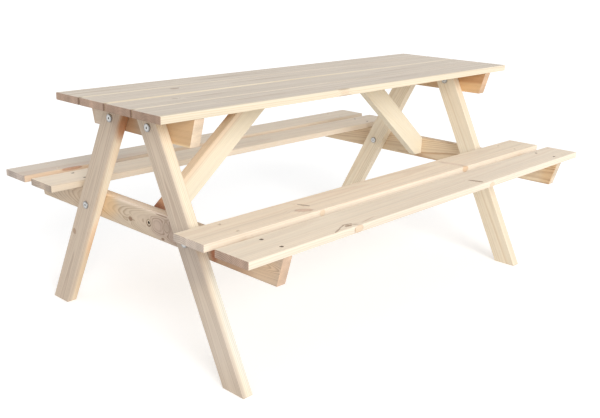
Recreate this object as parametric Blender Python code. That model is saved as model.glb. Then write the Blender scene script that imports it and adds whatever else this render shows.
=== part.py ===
"""A child's picnic table in planed pine, with its two benches on the same frame.

Lengths are metres. X runs along the table, the front bench lies at -Y, Z is up, and the
origin is on the floor under the middle of the table. Each end frame is a pair of sloping
legs bolted to a top batten and a seat bearer. Boards are screwed to battens and bearers,
and two diagonal braces tie the bearers to the underside of the top.
"""
import math

import bpy
import bmesh
from mathutils import Matrix, Vector

# Boards of the top and the benches
TABLE_LENGTH = 1.200
TABLE_HEIGHT = 0.518
BENCH_END_OVERHANG = 0.006
SEAT_HEIGHT = 0.312
BOARD_WIDTH = 0.084
BOARD_THICKNESS = 0.015
TOP_BOARDS = 4
TOP_BOARD_GAP = 0.003
BENCH_BOARD_GAP = 0.0285
BENCH_INNER_EDGE = 0.209

# End frames: each bearer's middle plane lies this far in from the end of the top
FRAME_INSET = 0.090
LEG_WIDTH = 0.052
LEG_THICKNESS = 0.025
LEG_FOOT_REACH = 0.3057
LEG_TOP_REACH = 0.0482
BATTEN_HEIGHT = 0.056
BATTEN_THICKNESS = 0.024
BEARER_HEIGHT = 0.058
BEARER_THICKNESS = 0.022
END_CUT_ANGLE = math.radians(15)

# Diagonal braces
BRACE_WIDTH = 0.054
BRACE_THICKNESS = 0.022
BRACE_ANGLE = math.radians(38.8)
BRACE_OFFSET = 0.022
BRACE_SEAT_HEIGHT = 0.045

# Rounding of the long edges
ARRIS_RADIUS = 0.0012
ARRIS_STEPS = 3

# Easing of the sawn ends, and how far a face leans towards the grain to be an end
END_EASE = 0.0008
END_LEAN = 0.5

# Connector bolts and the sleeved cap nuts that they screw into
BOLT_DIAMETER = 0.006
BOLT_HEAD_DIAMETER = 0.0168
BOLT_HEAD_HEIGHT = 0.0032
BOLT_HEAD_CHAMFER = 0.0014
BOLT_KEY = 0.0045
BOLT_KEY_DEPTH = 0.0024
BOLT_END_MARGIN = 0.004
BOLT_TIP_CHAMFER = 0.0008
SLEEVE_DIAMETER = 0.0094
SLEEVE_LENGTH = 0.016

# Wood screws, and the larger socket screws in the ends of the braces
SCREW_DIAMETER = 0.004
SCREW_LENGTH = 0.040
SCREW_HEAD_DIAMETER = 0.008
SCREW_HEAD_HEIGHT = 0.0028
SCREW_SINK = 0.0004
SCREW_OFFSET = 0.025
SCREW_TIP_COVER = 0.005
BRACE_SCREW_SETBACK = 0.050
SOCKET_SCREW_DIAMETER = 0.0065
SOCKET_SCREW_LENGTH = 0.050
SOCKET_SCREW_HEAD = 0.012
SOCKET_SCREW_HEAD_HEIGHT = 0.004
SOCKET_SCREW_KEY = 0.005
SOCKET_SCREW_KEY_DEPTH = 0.003
SOCKET_SCREW_TIP_CHAMFER = 0.0016

# Clearance between touching pieces, and how far a cutter runs past a face
CLEARANCE = 0.0003
OVERRUN = 0.006

# Faces round the bolts and the screws, and the angle from which an edge is sharp
BOLT_SIDES = 18
SCREW_SIDES = 12
SHARP_ANGLE = math.radians(35)

X_AXIS = Vector((1, 0, 0))
Y_AXIS = Vector((0, 1, 0))
Z_AXIS = Vector((0, 0, 1))

# Levels and reaches that follow from the sizes above
bench_length = TABLE_LENGTH + 2 * BENCH_END_OVERHANG
frame_reach = TABLE_LENGTH / 2 - FRAME_INSET
top_underside = TABLE_HEIGHT - BOARD_THICKNESS
seat_underside = SEAT_HEIGHT - BOARD_THICKNESS
frame_top = top_underside - CLEARANCE
bearer_top = seat_underside - CLEARANCE
batten_middle = frame_top - BATTEN_HEIGHT / 2
bearer_middle = bearer_top - BEARER_HEIGHT / 2
top_half_width = (TOP_BOARDS * BOARD_WIDTH + (TOP_BOARDS - 1) * TOP_BOARD_GAP) / 2
bench_outer_edge = BENCH_INNER_EDGE + 2 * BOARD_WIDTH + BENCH_BOARD_GAP
leg_slope = (LEG_FOOT_REACH - LEG_TOP_REACH) / top_underside

# At both ends the legs stand on the -X side of their batten and bearer
joint_planes = {
    "near": -frame_reach - BEARER_THICKNESS / 2,
    "far": frame_reach - BEARER_THICKNESS / 2,
}
sides = {"front": -1, "back": 1}


def clear_scene():
    """Remove whatever the open scene holds."""
    for old in list(bpy.data.objects):
        bpy.data.objects.remove(old)


def make_material(name, colour, roughness, metallic=0.0):
    """Principled material with a base colour, a roughness and a metallic value."""
    material = bpy.data.materials.new(name)
    material.use_nodes = True
    shader = material.node_tree.nodes["Principled BSDF"]
    shader.inputs["Base Color"].default_value = (*colour, 1.0)
    shader.inputs["Roughness"].default_value = roughness
    shader.inputs["Metallic"].default_value = metallic
    material.diffuse_color = (*colour, 1.0)
    return material


def axes_at(origin, along, across):
    """Matrix whose X axis runs along a piece, its Y axis across, its origin at a point."""
    turn = Matrix((along, across, along.cross(across))).transposed()
    return Matrix.Translation(origin) @ turn.to_4x4()


def add_object(name, bm, material, place=None):
    """Turn a bmesh into an object with outward faces, smooth up to a sharp-edge angle."""
    bmesh.ops.recalc_face_normals(bm, faces=bm.faces)
    mesh = bpy.data.meshes.new(name)
    bm.to_mesh(mesh)
    bm.free()
    mesh.shade_smooth()
    mesh.set_sharp_from_angle(angle=SHARP_ANGLE)
    if material:
        mesh.materials.append(material)
    piece = bpy.data.objects.new(name, mesh)
    bpy.context.collection.objects.link(piece)
    piece.matrix_world = place or Matrix.Identity(4)
    return piece


def section_points(width, thickness):
    """Outline of a planed timber: a rectangle whose four arrises are quarter circles."""
    points = []
    corners = ((1, 1), (-1, 1), (-1, -1), (1, -1))
    for quarter, (y_side, z_side) in enumerate(corners):
        centre_y = y_side * (width / 2 - ARRIS_RADIUS)
        centre_z = z_side * (thickness / 2 - ARRIS_RADIUS)
        for step in range(ARRIS_STEPS + 1):
            angle = (quarter + step / ARRIS_STEPS) * math.pi / 2
            y = centre_y + ARRIS_RADIUS * math.cos(angle)
            z = centre_z + ARRIS_RADIUS * math.sin(angle)
            points.append((y, z))
    return points


def saw(bm, point, normal):
    """Cut a convex bar at a plane, drop what lies beyond it and close the cut end."""
    everything = bm.verts[:] + bm.edges[:] + bm.faces[:]
    cut = bmesh.ops.bisect_plane(bm, geom=everything, plane_co=point, plane_no=normal, clear_outer=True)
    rim = [edge for edge in cut["geom_cut"] if isinstance(edge, bmesh.types.BMEdge)]
    bmesh.ops.contextual_create(bm, geom=rim)


def ease_ends(bm):
    """Take the sharpness off the rims of the sawn ends of a bar that runs along X."""
    bmesh.ops.recalc_face_normals(bm, faces=bm.faces)
    ends = [face for face in bm.faces if abs(face.normal.x) > END_LEAN]
    rims = list(dict.fromkeys(edge for face in ends for edge in face.edges))
    bmesh.ops.bevel(bm, geom=rims, offset=END_EASE, segments=1, affect="EDGES")


def make_timber(name, size, place, cuts, material):
    """Bar of a rounded section, laid at its place and sawn at planes given in world axes."""
    length, width, thickness = size
    outline = section_points(width, thickness)
    bm = bmesh.new()
    start = [bm.verts.new((-length / 2, y, z)) for y, z in outline]
    end = [bm.verts.new((length / 2, y, z)) for y, z in outline]
    bm.faces.new(start)
    bm.faces.new(end)
    for step in range(len(outline)):
        after = (step + 1) % len(outline)
        bm.faces.new((start[step], start[after], end[after], end[step]))
    into_piece = place.inverted()
    for point, normal in cuts:
        saw(bm, into_piece @ Vector(point), into_piece.to_3x3() @ Vector(normal))
    ease_ends(bm)
    return add_object(name, bm, material, place)


def add_turned(bm, stations, side_count, place, is_ring=False):
    """Add one lathe shape about the local Z axis.

    A station is (height, radius, shape). A hexagonal station has its radius across half
    the flats, and a radius of zero is a point on the axis. A ring joins its last station
    to its first.
    """
    rows = []
    for height, radius, shape in stations:
        if radius == 0:
            rows.append([bm.verts.new(place @ Vector((0, 0, height)))])
            continue
        row = []
        for step in range(side_count):
            angle = math.tau * step / side_count
            reach = radius
            if shape == "hexagon":
                reach = radius / math.cos(angle % (math.pi / 3) - math.pi / 6)
            spot = Vector((reach * math.cos(angle), reach * math.sin(angle), height))
            row.append(bm.verts.new(place @ spot))
        rows.append(row)
    pairs = list(zip(rows, rows[1:]))
    if is_ring:
        pairs.append((rows[-1], rows[0]))
    for lower, upper in pairs:
        for step in range(side_count):
            after = (step + 1) % side_count
            corners = [lower[step % len(lower)], lower[after % len(lower)]]
            corners += [upper[after % len(upper)], upper[step % len(upper)]]
            bm.faces.new(list(dict.fromkeys(corners)))


def make_copies(places, stations, side_count, material, is_ring=False):
    """Like turned pieces that share one mesh, each an object with its own name and place."""
    mesh = None
    for name, place in places.items():
        if mesh is None:
            bm = bmesh.new()
            add_turned(bm, stations, side_count, Matrix.Identity(4), is_ring)
            mesh = add_object(name, bm, material, place).data
            continue
        copy = bpy.data.objects.new(name, mesh)
        bpy.context.collection.objects.link(copy)
        copy.matrix_world = place


def make_cutter(name, stations, side_count, places):
    """Drill bits at many places, shown as wires and left out of the model."""
    bm = bmesh.new()
    for place in places.values():
        add_turned(bm, stations, side_count, place)
    cutter = add_object(name, bm, None)
    cutter.hide_render = True
    cutter.display_type = "WIRE"
    return cutter


def drill(piece, cutter):
    """Take a cutter's holes out of a piece."""
    hole = piece.modifiers.new(cutter.name, "BOOLEAN")
    hole.operation = "DIFFERENCE"
    hole.solver = "EXACT"
    hole.object = cutter


def top_board_centres():
    """Places across the table of the top's boards, from front to back."""
    pitch = BOARD_WIDTH + TOP_BOARD_GAP
    return [(row - (TOP_BOARDS - 1) / 2) * pitch for row in range(TOP_BOARDS)]


def bench_board_centres():
    """Place across the table of each bench board, by its name."""
    inner = BENCH_INNER_EDGE + BOARD_WIDTH / 2
    outer = bench_outer_edge - BOARD_WIDTH / 2
    centres = {}
    for side, sign in sides.items():
        centres[f"bench_{side}_inner_board"] = sign * inner
        centres[f"bench_{side}_outer_board"] = sign * outer
    return centres


def leg_centre(height):
    """Distance of a leg's middle line from the middle of the table at a height."""
    return LEG_FOOT_REACH - leg_slope * height


def make_boards(material_top, material_bench):
    """Boards of the top and the benches, square at both ends."""
    boards = {"top": [], "bench": []}
    middle = top_underside + BOARD_THICKNESS / 2
    size = (TABLE_LENGTH, BOARD_WIDTH, BOARD_THICKNESS)
    for row, y in enumerate(top_board_centres(), start=1):
        place = Matrix.Translation((0, y, middle))
        boards["top"].append(make_timber(f"tabletop_board_{row}", size, place, (), material_top))
    middle = seat_underside + BOARD_THICKNESS / 2
    size = (bench_length, BOARD_WIDTH, BOARD_THICKNESS)
    for name, y in bench_board_centres().items():
        place = Matrix.Translation((0, y, middle))
        boards["bench"].append(make_timber(name, size, place, (), material_bench))
    return boards


def make_cross_bar(name, joint_plane, top, size, material):
    """Batten or bearer: a bar across the table on edge, undercut at both ends."""
    half_length, height, thickness = size
    place = axes_at(Vector((joint_plane + thickness / 2, 0, top - height / 2)), Y_AXIS, Z_AXIS)
    cuts = []
    for sign in sides.values():
        normal = (0, sign * math.cos(END_CUT_ANGLE), -math.sin(END_CUT_ANGLE))
        cuts.append(((joint_plane, sign * half_length, top), normal))
    stock = (2 * half_length + OVERRUN, height, thickness)
    return make_timber(name, stock, place, cuts, material)


def make_leg(name, joint_plane, sign, material):
    """Sloping leg, sawn level where it stands on the floor and under the top."""
    middle_height = frame_top / 2
    thickness_middle = joint_plane - CLEARANCE - LEG_THICKNESS / 2
    upward = Vector((0, -sign * leg_slope, 1)).normalized()
    place = axes_at(
        Vector((thickness_middle, sign * leg_centre(middle_height), middle_height)),
        upward,
        upward.cross(X_AXIS),
    )
    length = (frame_top + LEG_WIDTH) / upward.z
    cuts = (((0, 0, 0), (0, 0, -1)), ((0, 0, frame_top), (0, 0, 1)))
    return make_timber(name, (length, LEG_WIDTH, LEG_THICKNESS), place, cuts, material)


def half_turn(index):
    """Turn about the table's upright middle line: none for 0, a half turn for 1."""
    return Matrix.Rotation(math.pi * index, 4, "Z")


def brace_foot():
    """Top corner of the near brace's upright cut, against the near bearer's inner face."""
    return Vector((-frame_reach + BEARER_THICKNESS / 2 + CLEARANCE, -BRACE_OFFSET, bearer_top))


def brace_lower_edge_x(height):
    """Place along the table of the near brace's lower edge at a height."""
    upright_cut = BRACE_WIDTH / math.cos(BRACE_ANGLE)
    rise = height - (brace_foot().z - upright_cut)
    return brace_foot().x + rise / math.tan(BRACE_ANGLE)


def make_brace(name, index, material):
    """Diagonal brace, sawn upright at the bearer, level below it and level at the top."""
    along = Vector((math.cos(BRACE_ANGLE), 0, math.sin(BRACE_ANGLE)))
    across = Vector((-math.sin(BRACE_ANGLE), 0, math.cos(BRACE_ANGLE)))
    foot = brace_foot()
    run = (frame_top - foot.z + BRACE_WIDTH) / along.z
    middle = foot + along * run / 2 - across * BRACE_WIDTH / 2
    turn = half_turn(index)
    spin = turn.to_3x3()
    cuts = (
        (turn @ foot, spin @ Vector((-1, 0, 0))),
        ((0, 0, bearer_top - BRACE_SEAT_HEIGHT), (0, 0, -1)),
        ((0, 0, frame_top), (0, 0, 1)),
    )
    size = (run + 2 * BRACE_WIDTH, BRACE_WIDTH, BRACE_THICKNESS)
    return make_timber(name, size, turn @ axes_at(middle, along, across), cuts, material)


def along_x(spot):
    """Matrix that lays a turned piece's axis along the table, pointing to +X."""
    return Matrix.Translation(spot) @ Matrix.Rotation(math.pi / 2, 4, "Y")


def bolt_places(level_names=("upper", "lower")):
    """Where each bolt crosses its joint plane, by end, side and level."""
    heights = {"upper": batten_middle, "lower": bearer_middle}
    places = {}
    for end, joint_plane in joint_planes.items():
        for side, sign in sides.items():
            for level in level_names:
                height = heights[level]
                spot = Vector((joint_plane, sign * leg_centre(height), height))
                places[f"{end}_{side}_{level}"] = along_x(spot)
    return places


def named(prefix, places):
    """The same places with a word put before each name."""
    return {f"{prefix}_{name}": place for name, place in places.items()}


def make_bolts(material):
    """Flat-headed connector bolts with a hexagon socket, from the legs' outer faces."""
    end = min(BATTEN_THICKNESS, BEARER_THICKNESS) - BOLT_END_MARGIN
    head_face = -LEG_THICKNESS - 2 * CLEARANCE
    crown = head_face - BOLT_HEAD_HEIGHT
    shank = BOLT_DIAMETER / 2
    head = BOLT_HEAD_DIAMETER / 2
    key = BOLT_KEY / 2
    stations = (
        (end, 0, "round"),
        (end, shank - BOLT_TIP_CHAMFER, "round"),
        (end - BOLT_TIP_CHAMFER, shank, "round"),
        (head_face, shank, "round"),
        (head_face, head, "round"),
        (crown + BOLT_HEAD_CHAMFER, head, "round"),
        (crown, head - BOLT_HEAD_CHAMFER, "round"),
        (crown, key, "hexagon"),
        (crown + BOLT_KEY_DEPTH, key, "hexagon"),
        (crown + BOLT_KEY_DEPTH, 0, "round"),
    )
    make_copies(named("bolt", bolt_places()), stations, BOLT_SIDES, material)


def make_cap_nuts(level, thickness, material):
    """Cap nuts whose sleeves reach into the bar from behind and take the bolts' ends."""
    bore = BOLT_DIAMETER / 2 + CLEARANCE
    sleeve = SLEEVE_DIAMETER / 2
    head = BOLT_HEAD_DIAMETER / 2
    key = BOLT_KEY / 2
    inner_end = thickness - SLEEVE_LENGTH
    head_face = thickness + CLEARANCE
    crown = head_face + BOLT_HEAD_HEIGHT
    stations = (
        (inner_end, bore, "round"),
        (inner_end, sleeve, "round"),
        (head_face, sleeve, "round"),
        (head_face, head, "round"),
        (crown - BOLT_HEAD_CHAMFER, head, "round"),
        (crown, head - BOLT_HEAD_CHAMFER, "round"),
        (crown, key, "hexagon"),
        (head_face, key, "hexagon"),
        (head_face, bore, "round"),
    )
    places = named("cap_nut", bolt_places((level,)))
    make_copies(places, stations, BOLT_SIDES, material, is_ring=True)


def make_bolt_holes():
    """Drill bits for the bolts, through legs and cross bars."""
    radius = BOLT_DIAMETER / 2 + CLEARANCE
    start = -LEG_THICKNESS - OVERRUN
    end = max(BATTEN_THICKNESS, BEARER_THICKNESS) + OVERRUN
    stations = (
        (start, 0, "round"),
        (start, radius, "round"),
        (end, radius, "round"),
        (end, 0, "round"),
    )
    return make_cutter("bolt_holes", stations, BOLT_SIDES, bolt_places())


def make_sleeve_holes(level, thickness):
    """Wider drill bits for the sleeves of the cap nuts at one level."""
    radius = SLEEVE_DIAMETER / 2 + CLEARANCE
    start = thickness - SLEEVE_LENGTH - CLEARANCE
    stations = (
        (start, 0, "round"),
        (start, radius, "round"),
        (thickness + OVERRUN, radius, "round"),
        (thickness + OVERRUN, 0, "round"),
    )
    return make_cutter(f"sleeve_holes_{level}", stations, BOLT_SIDES, bolt_places((level,)))


def screw_stations():
    """Countersunk wood screw: its head's flat face at zero, its point up the axis."""
    shank = SCREW_DIAMETER / 2
    return (
        (0, 0, "round"),
        (0, SCREW_HEAD_DIAMETER / 2, "round"),
        (SCREW_HEAD_HEIGHT, shank, "round"),
        (SCREW_LENGTH - SCREW_DIAMETER, shank, "round"),
        (SCREW_LENGTH, 0, "round"),
    )


def make_screw_holes(name, places, access):
    """Drill bits of a wood screw's shape, open for some length before the head."""
    radius = SCREW_DIAMETER / 2 + CLEARANCE
    rim = SCREW_HEAD_DIAMETER / 2 + CLEARANCE
    stations = (
        (-access, 0, "round"),
        (-access, rim, "round"),
        (CLEARANCE, rim, "round"),
        (SCREW_HEAD_HEIGHT + CLEARANCE, radius, "round"),
        (SCREW_LENGTH - SCREW_DIAMETER + CLEARANCE, radius, "round"),
        (SCREW_LENGTH + CLEARANCE, 0, "round"),
    )
    return make_cutter(name, stations, SCREW_SIDES, places)


def bench_screw_places():
    """Two screws driven down through each bench board into each bearer."""
    down = Matrix.Rotation(math.pi, 4, "X")
    places = {}
    for end, x in (("near", -frame_reach), ("far", frame_reach)):
        for board, y in bench_board_centres().items():
            for count, shift in enumerate((-SCREW_OFFSET, SCREW_OFFSET), start=1):
                name = board.replace("bench", f"bench_screw_{end}").replace("board", str(count))
                spot = Vector((x, y + shift, SEAT_HEIGHT - SCREW_SINK))
                places[name] = Matrix.Translation(spot) @ down
    return places


def upward_screw_level():
    """Height of the heads of the screws that are driven up into the top."""
    return TABLE_HEIGHT - SCREW_TIP_COVER - SCREW_LENGTH


def top_screw_places():
    """One screw driven up through each batten into each board of the top."""
    places = {}
    for end, joint_plane in joint_planes.items():
        for row, y in enumerate(top_board_centres(), start=1):
            spot = Vector((joint_plane + BATTEN_THICKNESS / 2, y, upward_screw_level()))
            places[f"top_screw_{end}_{row}"] = Matrix.Translation(spot)
    return places


def brace_top_hole_places():
    """One hole up through each brace's thin end into the top."""
    x = brace_lower_edge_x(frame_top) - BRACE_SCREW_SETBACK
    place = Matrix.Translation((x, -BRACE_OFFSET, upward_screw_level()))
    return {end: half_turn(index) @ place for index, end in enumerate(joint_planes)}


def brace_end_screw_places():
    """One screw driven through each bearer's outer face into its brace's end."""
    outer_face = -frame_reach - BEARER_THICKNESS / 2
    place = along_x(Vector((outer_face + SCREW_SINK, -BRACE_OFFSET, bearer_middle)))
    return {end: half_turn(index) @ place for index, end in enumerate(joint_planes)}


def make_brace_end_screws(material):
    """Flush-headed screws with a hexagon socket; returns the drill bits for them."""
    shank = SOCKET_SCREW_DIAMETER / 2
    head = SOCKET_SCREW_HEAD / 2
    key = SOCKET_SCREW_KEY / 2
    stations = (
        (SOCKET_SCREW_KEY_DEPTH, 0, "round"),
        (SOCKET_SCREW_KEY_DEPTH, key, "hexagon"),
        (0, key, "hexagon"),
        (0, head, "round"),
        (SOCKET_SCREW_HEAD_HEIGHT, shank, "round"),
        (SOCKET_SCREW_LENGTH - SOCKET_SCREW_TIP_CHAMFER, shank, "round"),
        (SOCKET_SCREW_LENGTH, shank - SOCKET_SCREW_TIP_CHAMFER, "round"),
        (SOCKET_SCREW_LENGTH, 0, "round"),
    )
    hole = (
        (-OVERRUN, 0, "round"),
        (-OVERRUN, head + CLEARANCE, "round"),
        (CLEARANCE, head + CLEARANCE, "round"),
        (SOCKET_SCREW_HEAD_HEIGHT + CLEARANCE, shank + CLEARANCE, "round"),
        (SOCKET_SCREW_LENGTH + CLEARANCE, shank + CLEARANCE, "round"),
        (SOCKET_SCREW_LENGTH + CLEARANCE, 0, "round"),
    )
    places = brace_end_screw_places()
    make_copies(named("brace_screw", places), stations, BOLT_SIDES, material)
    return make_cutter("brace_screw_holes", hole, BOLT_SIDES, places)


def build_table():
    """Make every piece and drill the timbers for their bolts and screws."""
    clear_scene()
    top_pine = make_material("tabletop_pine", (0.75, 0.61, 0.45), 0.55)
    bench_pine = make_material("bench_pine", (0.80, 0.65, 0.47), 0.55)
    leg_pine = make_material("leg_pine", (0.78, 0.64, 0.46), 0.6)
    bar_pine = make_material("cross_bar_pine", (0.70, 0.50, 0.30), 0.6)
    brace_pine = make_material("brace_pine", (0.83, 0.70, 0.50), 0.6)
    bolt_zinc = make_material("bolt_zinc", (0.72, 0.73, 0.74), 0.35, 1.0)
    screw_zinc = make_material("screw_zinc", (0.55, 0.53, 0.47), 0.4, 1.0)

    bolt_holes = make_bolt_holes()
    upper_sleeve_holes = make_sleeve_holes("upper", BATTEN_THICKNESS)
    lower_sleeve_holes = make_sleeve_holes("lower", BEARER_THICKNESS)
    bench_screw_holes = make_screw_holes("bench_screw_holes", bench_screw_places(), OVERRUN)
    top_screw_holes = make_screw_holes("top_screw_holes", top_screw_places(), BATTEN_HEIGHT)
    brace_top_holes = make_screw_holes("brace_top_holes", brace_top_hole_places(), BRACE_WIDTH)
    brace_end_holes = make_brace_end_screws(bolt_zinc)

    boards = make_boards(top_pine, bench_pine)
    for board in boards["top"]:
        drill(board, top_screw_holes)
        drill(board, brace_top_holes)
    for board in boards["bench"]:
        drill(board, bench_screw_holes)
    for end, joint_plane in joint_planes.items():
        size = (top_half_width, BATTEN_HEIGHT, BATTEN_THICKNESS)
        batten = make_cross_bar(f"top_batten_{end}", joint_plane, frame_top, size, bar_pine)
        size = (bench_outer_edge, BEARER_HEIGHT, BEARER_THICKNESS)
        bearer = make_cross_bar(f"seat_bearer_{end}", joint_plane, bearer_top, size, bar_pine)
        for cutter in (bolt_holes, upper_sleeve_holes, top_screw_holes):
            drill(batten, cutter)
        for cutter in (bolt_holes, lower_sleeve_holes, bench_screw_holes, brace_end_holes):
            drill(bearer, cutter)
        for side, sign in sides.items():
            drill(make_leg(f"leg_{end}_{side}", joint_plane, sign, leg_pine), bolt_holes)
    for index, end in enumerate(joint_planes):
        brace = make_brace(f"brace_{end}", index, brace_pine)
        drill(brace, brace_end_holes)
        drill(brace, brace_top_holes)

    make_bolts(bolt_zinc)
    make_cap_nuts("upper", BATTEN_THICKNESS, bolt_zinc)
    make_cap_nuts("lower", BEARER_THICKNESS, bolt_zinc)
    make_copies(bench_screw_places(), screw_stations(), SCREW_SIDES, screw_zinc)
    make_copies(top_screw_places(), screw_stations(), SCREW_SIDES, screw_zinc)


build_table()
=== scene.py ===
import math

import bpy
import numpy as np
from mathutils import Matrix, Vector


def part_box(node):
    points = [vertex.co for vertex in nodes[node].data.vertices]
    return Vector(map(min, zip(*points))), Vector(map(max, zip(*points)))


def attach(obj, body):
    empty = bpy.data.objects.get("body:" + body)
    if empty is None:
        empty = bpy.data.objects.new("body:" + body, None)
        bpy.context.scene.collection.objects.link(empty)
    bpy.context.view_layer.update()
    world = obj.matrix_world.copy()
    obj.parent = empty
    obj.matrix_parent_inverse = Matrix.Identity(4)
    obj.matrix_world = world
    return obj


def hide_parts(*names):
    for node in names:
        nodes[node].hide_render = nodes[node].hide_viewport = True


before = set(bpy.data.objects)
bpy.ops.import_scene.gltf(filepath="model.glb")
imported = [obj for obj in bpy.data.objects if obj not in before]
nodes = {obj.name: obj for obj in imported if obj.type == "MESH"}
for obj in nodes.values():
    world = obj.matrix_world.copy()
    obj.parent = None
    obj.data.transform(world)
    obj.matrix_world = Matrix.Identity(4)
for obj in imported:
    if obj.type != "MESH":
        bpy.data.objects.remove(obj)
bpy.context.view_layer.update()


# Legs. Four sloping bars of planed pine, sawn level at the floor and under the top. Each
# is one CAD solid that keeps its shape and gets its own cut of the log.

class Signal:
    """A socket in a tree of shader nodes. Arithmetic on it adds Math nodes."""

    def __init__(self, tree, socket):
        self.tree = tree
        self.socket = socket

    def node(self, kind, settings, inputs, output=0):
        """Add a node of a kind, with its settings first and then its inputs' values or links."""
        added = self.tree.nodes.new(kind)
        for name, value in settings.items():
            setattr(added, name, value)
        for key, value in inputs.items():
            socket = added.inputs[key]
            if isinstance(value, Signal):
                self.tree.links.new(value.socket, socket)
            elif socket.type == "RGBA":
                socket.default_value = (*value, 1.0)
            else:
                socket.default_value = value
        return Signal(self.tree, added.outputs[output])

    def math(self, operation, *terms):
        return self.node("ShaderNodeMath", {"operation": operation}, dict(enumerate(terms)))

    def __add__(self, other):
        return self.math("ADD", self, other)

    def __sub__(self, other):
        return self.math("SUBTRACT", self, other)

    def __rsub__(self, other):
        return self.math("SUBTRACT", other, self)

    def __mul__(self, other):
        return self.math("MULTIPLY", self, other)

    def __truediv__(self, other):
        return self.math("DIVIDE", self, other)

    def __abs__(self):
        return self.math("ABSOLUTE", self)

    __radd__ = __add__
    __rmul__ = __mul__

    def step(self, low, high):
        """Smooth rise from 0 at low to 1 at high, or a fall where low is the larger."""
        settings = {"interpolation_type": "SMOOTHSTEP"}
        limits = {"Value": self, "From Min": low, "From Max": high}
        if low > high:
            limits = {"Value": self, "From Min": high, "From Max": low, "To Min": 1.0, "To Max": 0.0}
        return self.node("ShaderNodeMapRange", settings, limits)

    def bell(self):
        """1 at zero, falling off on both sides as exp(-x * x)."""
        return self.math("EXPONENT", self * self * -1.0)

    def vector(self, operation, *terms, output=0):
        settings = {"operation": operation}
        return self.node("ShaderNodeVectorMath", settings, dict(enumerate(terms)), output)

    def part(self, axis):
        """One coordinate of a position."""
        return self.node("ShaderNodeSeparateXYZ", {}, {0: self}, axis)

    def measured_from(self, middle, turn, size=(1.0, 1.0, 1.0)):
        """This position in the axes of a turned box, from its middle and over its size."""
        inputs = {"Vector": self, "Location": middle, "Rotation": turn, "Scale": size}
        return self.node("ShaderNodeMapping", {"vector_type": "TEXTURE"}, inputs)

    def reach(self, middle, half_sizes, degrees=0):
        """Distance from an ellipsoid's middle, as a share of the way to its surface."""
        offset = self.measured_from(middle, (0.0, 0.0, math.radians(degrees)), half_sizes)
        return offset.vector("LENGTH", offset, output=1)

    def noise(self, stretch, shift, detail=2.0):
        """Noise from 0 to 1 on this position, stretched along each axis and shifted."""
        spot = self.vector("MULTIPLY_ADD", self, stretch, (shift, shift * 1.7, shift * 0.6))
        return self.node("ShaderNodeTexNoise", {}, {"Vector": spot, "Scale": 1.0, "Detail": detail})

    def lottery(self, shift):
        """Slow noise from 0 to 1 along a number, such as one ring after another."""
        settings = {"noise_dimensions": "1D"}
        return self.node("ShaderNodeTexNoise", settings, {"W": self + shift, "Scale": 1.0})

    def mix(self, first, second):
        """Colour between two colours, with this socket as the share of the second."""
        inputs = {0: self, 6: first, 7: second}
        return self.node("ShaderNodeMix", {"data_type": "RGBA"}, inputs, output=2)

    def brighten(self, value):
        """This colour with its brightness multiplied."""
        return self.node("ShaderNodeHueSaturation", {}, {"Color": self, "Value": value})

    def bump(self, height, distance, strength):
        """Normal of a surface raised by a height times a distance in metres."""
        inputs = {"Height": height, "Distance": distance, "Strength": strength}
        return self.node("ShaderNodeBump", {}, inputs)


def new_material(name, metallic, roughness):
    """Material of one Principled shader, with a signal on the object's own position."""
    material = bpy.data.materials.new(name)
    material.use_nodes = True
    tree = material.node_tree
    shader = tree.nodes["Principled BSDF"]
    shader.inputs["Metallic"].default_value = metallic
    shader.inputs["Roughness"].default_value = roughness
    position = Signal(tree, None).node("ShaderNodeTexCoord", {}, {}, "Object")
    return material, shader, position


def heart_distance(place, log):
    """Distance from a log's heart line, which leans and is bent by slow noise."""
    u, v, w = place.part(0), place.part(1), place.part(2)
    bend_along, bend_size = log["bend"]
    twist_along, twist_size = 0.8 * bend_along, 0.7 * bend_size
    heart_across, heart_out = log["heart"]
    lean_across, lean_out = log["lean"]
    bend = place.noise((bend_along, 5.0, 5.0), log["seed"]) - 0.5
    twist = place.noise((twist_along, 4.0, 4.0), log["seed"] + 7.3) - 0.5
    to_side = v - heart_across + lean_across * u + bend_size * bend
    to_face = w - heart_out + lean_out * u + twist_size * twist
    squares = to_side * to_side + to_face * to_face
    return squares.math("SQRT", squares)


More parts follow.
